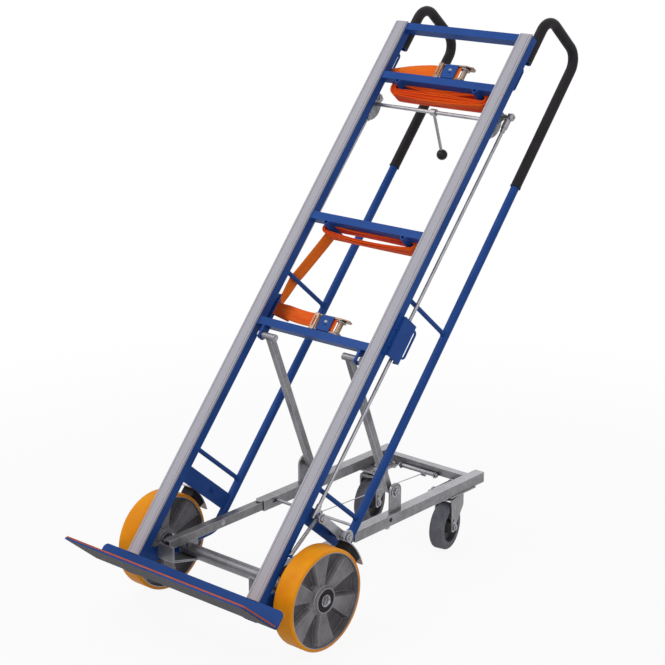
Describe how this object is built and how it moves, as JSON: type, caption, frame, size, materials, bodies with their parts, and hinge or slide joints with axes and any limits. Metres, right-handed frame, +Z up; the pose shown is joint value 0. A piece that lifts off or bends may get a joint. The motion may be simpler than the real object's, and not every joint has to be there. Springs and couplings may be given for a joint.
{
  "type": "appliance hand truck",
  "caption": "Tall leaned hand truck for appliances: tubular frame with toe plate, braked wheels, strap ratchets and a fold-out support on swivel casters.",
  "frame": {"origin": "on the floor under the middle of the bounding box", "axes": "+X across the truck to its right as seen from the front, +Y to the rear, +Z up"},
  "size_m": [0.598, 1.3938, 1.378],
  "materials": {
    "blue_paint": "gloss",
    "strip_grey": "satin",
    "mat_orange": "matt",
    "strap_orange": "woven",
    "grip_black": "matt",
    "knob_black": "gloss",
    "yellow_zinc": "yellow passivated",
    "zinc": "zinc plated",
    "tread_orange": "satin",
    "cast_grey": "as cast",
    "caster_grey": "matt",
    "caster_black": "matt"
  },
  "bodies": {
    "frame": {"left_rail": "blue_paint", "right_rail": "blue_paint", "slide_strips": "strip_grey", "top_crossbar": "blue_paint", "upper_crossbar": "blue_paint", "middle_crossbar": "blue_paint", "lower_crossbar": "blue_paint", "toe_plate": "blue_paint", "toe_mat": "mat_orange", "left_rear_tube": "blue_paint", "right_rear_tube": "blue_paint", "hand_grips": "grip_black", "side_braces": "blue_paint", "brake_plates": "blue_paint", "axle": "zinc", "axle_plates": "blue_paint", "axle_fittings": "zinc", "strap_loops": "blue_paint", "rod_bridges": "blue_paint", "strut_pins": "zinc", "upper_strap_hank": "strap_orange", "middle_strap_hank": "strap_orange", "strap_runs": "strap_orange", "ratchet_frames": "yellow_zinc", "return_springs": "zinc"},
    "left_wheel": {"left_tyre": "tread_orange", "left_hub": "cast_grey", "left_bearings": "zinc"},
    "right_wheel": {"right_tyre": "tread_orange", "right_hub": "cast_grey", "right_bearings": "zinc"},
    "support": {"axle_sleeve": "zinc", "support_arms": "zinc"},
    "extension": {"support_channels": "zinc", "rear_crossbar": "zinc", "strut_brackets": "zinc", "latch_spring": "zinc", "caster_plates": "zinc"},
    "latch": {"latch_rod": "zinc", "latch_wire": "zinc"},
    "strut_pair": {"struts": "zinc"},
    "left_caster": {"left_caster_fork": "zinc"},
    "right_caster": {"right_caster_fork": "zinc"},
    "left_caster_wheel": {"left_caster_tyre": "caster_grey", "left_caster_hub": "caster_black"},
    "right_caster_wheel": {"right_caster_tyre": "caster_grey", "right_caster_hub": "caster_black"},
    "brake_control": {"brake_shaft": "zinc", "hand_lever": "zinc", "lever_knob": "knob_black"},
    "pull_rods": {"brake_rods": "zinc"},
    "brake_arms": {"brake_levers": "zinc", "brake_shoes": "grip_black", "shoe_plates": "zinc"},
    "upper_ratchet": {"upper_ratchet_handle": "yellow_zinc", "upper_ratchet_cover": "blue_paint"},
    "lower_ratchet": {"lower_ratchet_handle": "yellow_zinc", "lower_ratchet_cover": "blue_paint"}
  },
  "joints": [
    {"name": "left_wheel_spin", "type": "hinge", "parent": "frame", "child": "left_wheel", "pos_m": [-0.261, -0.40496, 0.125], "axis": [1, 0, 0], "continuous": true},
    {"name": "right_wheel_spin", "type": "hinge", "parent": "frame", "child": "right_wheel", "pos_m": [0.261, -0.40496, 0.125], "axis": [1, 0, 0], "continuous": true},
    {"name": "support_fold", "type": "hinge", "parent": "frame", "child": "support", "pos_m": [0, -0.40496, 0.125], "axis": [1, 0, 0], "range_deg": [0, 49.2]},
    {"name": "support_slide", "type": "slide", "parent": "support", "child": "extension", "axis": [0, -1, 0], "range_m": [0, 0.28518]},
    {"name": "strut_swing", "type": "hinge", "parent": "frame", "child": "strut_pair", "pos_m": [0, -0.13738, 0.62323], "axis": [1, 0, 0], "range_deg": [-60.55, 0]},
    {"name": "latch_slide", "type": "slide", "parent": "extension", "child": "latch", "axis": [0, -1, 0], "range_m": [0, 0.012], "stiffness_N_per_m": 400},
    {"name": "left_caster_swivel", "type": "hinge", "parent": "extension", "child": "left_caster", "pos_m": [-0.13, 0.28704, 0.125], "axis": [0, 0, 1], "continuous": true},
    {"name": "left_caster_spin", "type": "hinge", "parent": "left_caster", "child": "left_caster_wheel", "pos_m": [-0.12168, 0.24792, 0.0625], "axis": [0.9781, 0.2079, 0], "continuous": true},
    {"name": "right_caster_swivel", "type": "hinge", "parent": "extension", "child": "right_caster", "pos_m": [0.13, 0.28704, 0.125], "axis": [0, 0, 1], "continuous": true},
    {"name": "right_caster_spin", "type": "hinge", "parent": "right_caster", "child": "right_caster_wheel", "pos_m": [0.13832, 0.24792, 0.0625], "axis": [0.9781, 0.2079, 0], "continuous": true},
    {"name": "hand_lever_swing", "type": "hinge", "parent": "frame", "child": "brake_control", "pos_m": [0, 0.34964, 1.14077], "axis": [1, 0, 0], "range_deg": [-15, 0]},
    {"name": "rod_slide", "type": "slide", "parent": "frame", "child": "pull_rods", "axis": [0, 0.6534, 0.757], "range_m": [-0.00581, 0]},
    {"name": "brake_arm_swing", "type": "hinge", "parent": "frame", "child": "brake_arms", "pos_m": [0, -0.2885, 0.23849], "axis": [1, 0, 0], "range_deg": [0, 3.29], "deforming": ["return_springs"]},
    {"name": "upper_ratchet_swing", "type": "hinge", "parent": "frame", "child": "upper_ratchet", "pos_m": [0.057, 0.39547, 1.23595], "axis": [0, 0.6534, 0.757], "range_deg": [0, 140]},
    {"name": "lower_ratchet_swing", "type": "hinge", "parent": "frame", "child": "lower_ratchet", "pos_m": [0.057, -0.09133, 0.67199], "axis": [0, 0.6534, 0.757], "range_deg": [0, 140]}
  ],
  "couplings": [
    {"joint": "support_slide", "follows": "support_fold", "m_per_rad": 0.33176},
    {"joint": "strut_swing", "follows": "support_fold", "ratio": -1.2286},
    {"joint": "rod_slide", "follows": "hand_lever_swing", "m_per_rad": 0.021804},
    {"joint": "brake_arm_swing", "follows": "hand_lever_swing", "ratio": -0.21599}
  ]
}
